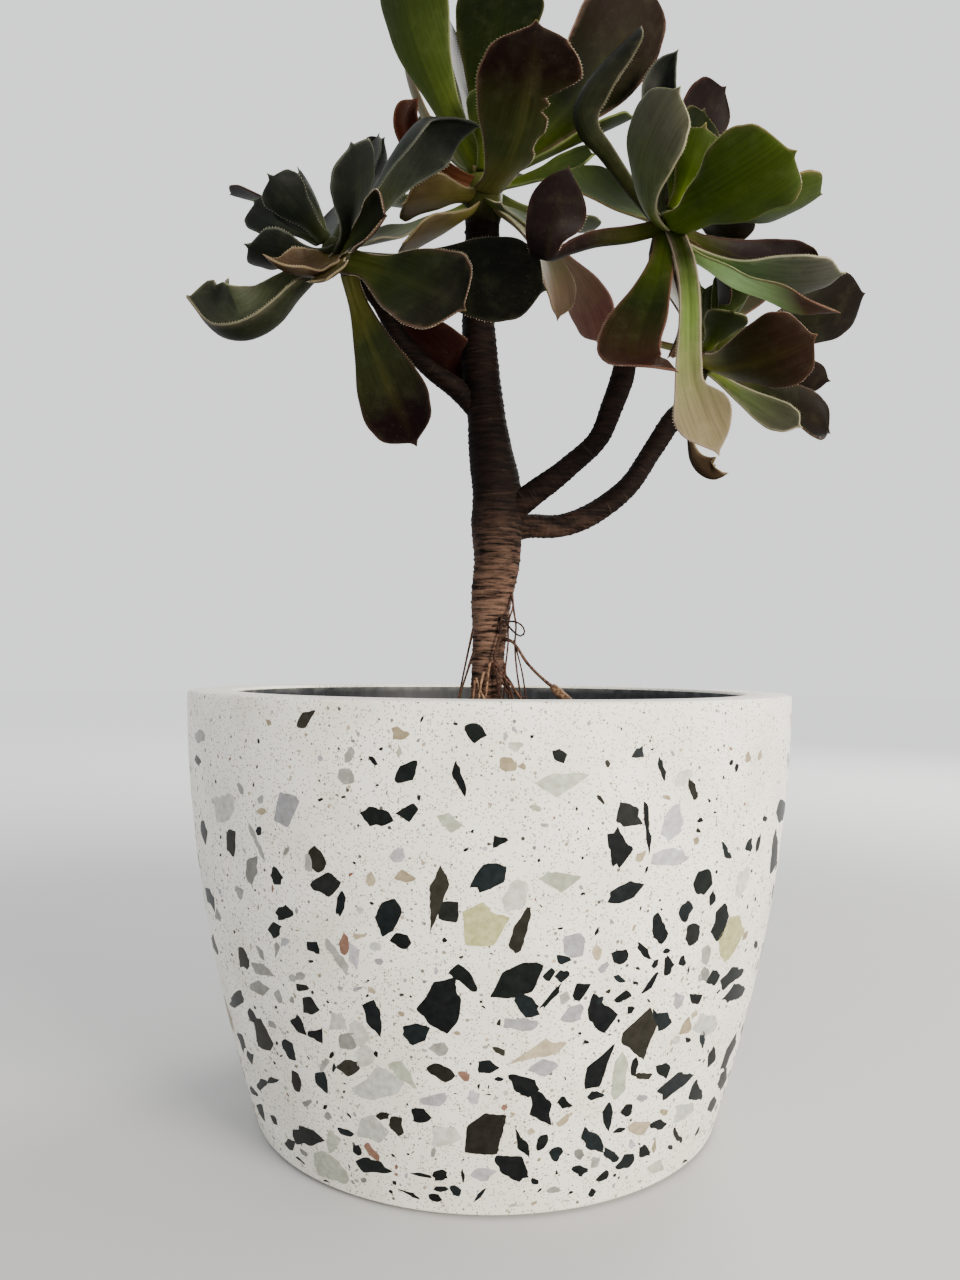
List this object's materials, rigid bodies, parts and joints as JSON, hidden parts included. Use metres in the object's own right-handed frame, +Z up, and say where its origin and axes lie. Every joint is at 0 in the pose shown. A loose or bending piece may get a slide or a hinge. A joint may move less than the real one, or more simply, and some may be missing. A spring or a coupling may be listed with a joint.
{
  "type": "potted succulent",
  "caption": "Branched tree aeonium with rosette heads of spoon-shaped leaves on scarred stems with aerial roots, growing in a round tapered marble-chip planter.",
  "frame": {"origin": "middle of the pot's flat foot", "axes": "+Z up along the pot's axis; the plant is seen in the picture from -Y, with +X to the right"},
  "size_m": [0.3071, 0.25, 0.4909],
  "materials": {
    "marble_chip_stone": "satin",
    "potting_mix": "matte",
    "scarred_bark": "matte",
    "leaves_left": "satin",
    "leaves_top": "satin",
    "leaves_right": "satin",
    "leaves_low": "satin"
  },
  "bodies": {
    "root": {"pot": "marble_chip_stone", "soil": "potting_mix", "stem": "scarred_bark", "head_left": "leaves_left", "head_top": "leaves_top", "head_right": "leaves_right", "head_low": "leaves_low"}
  },
  "joints": []
}
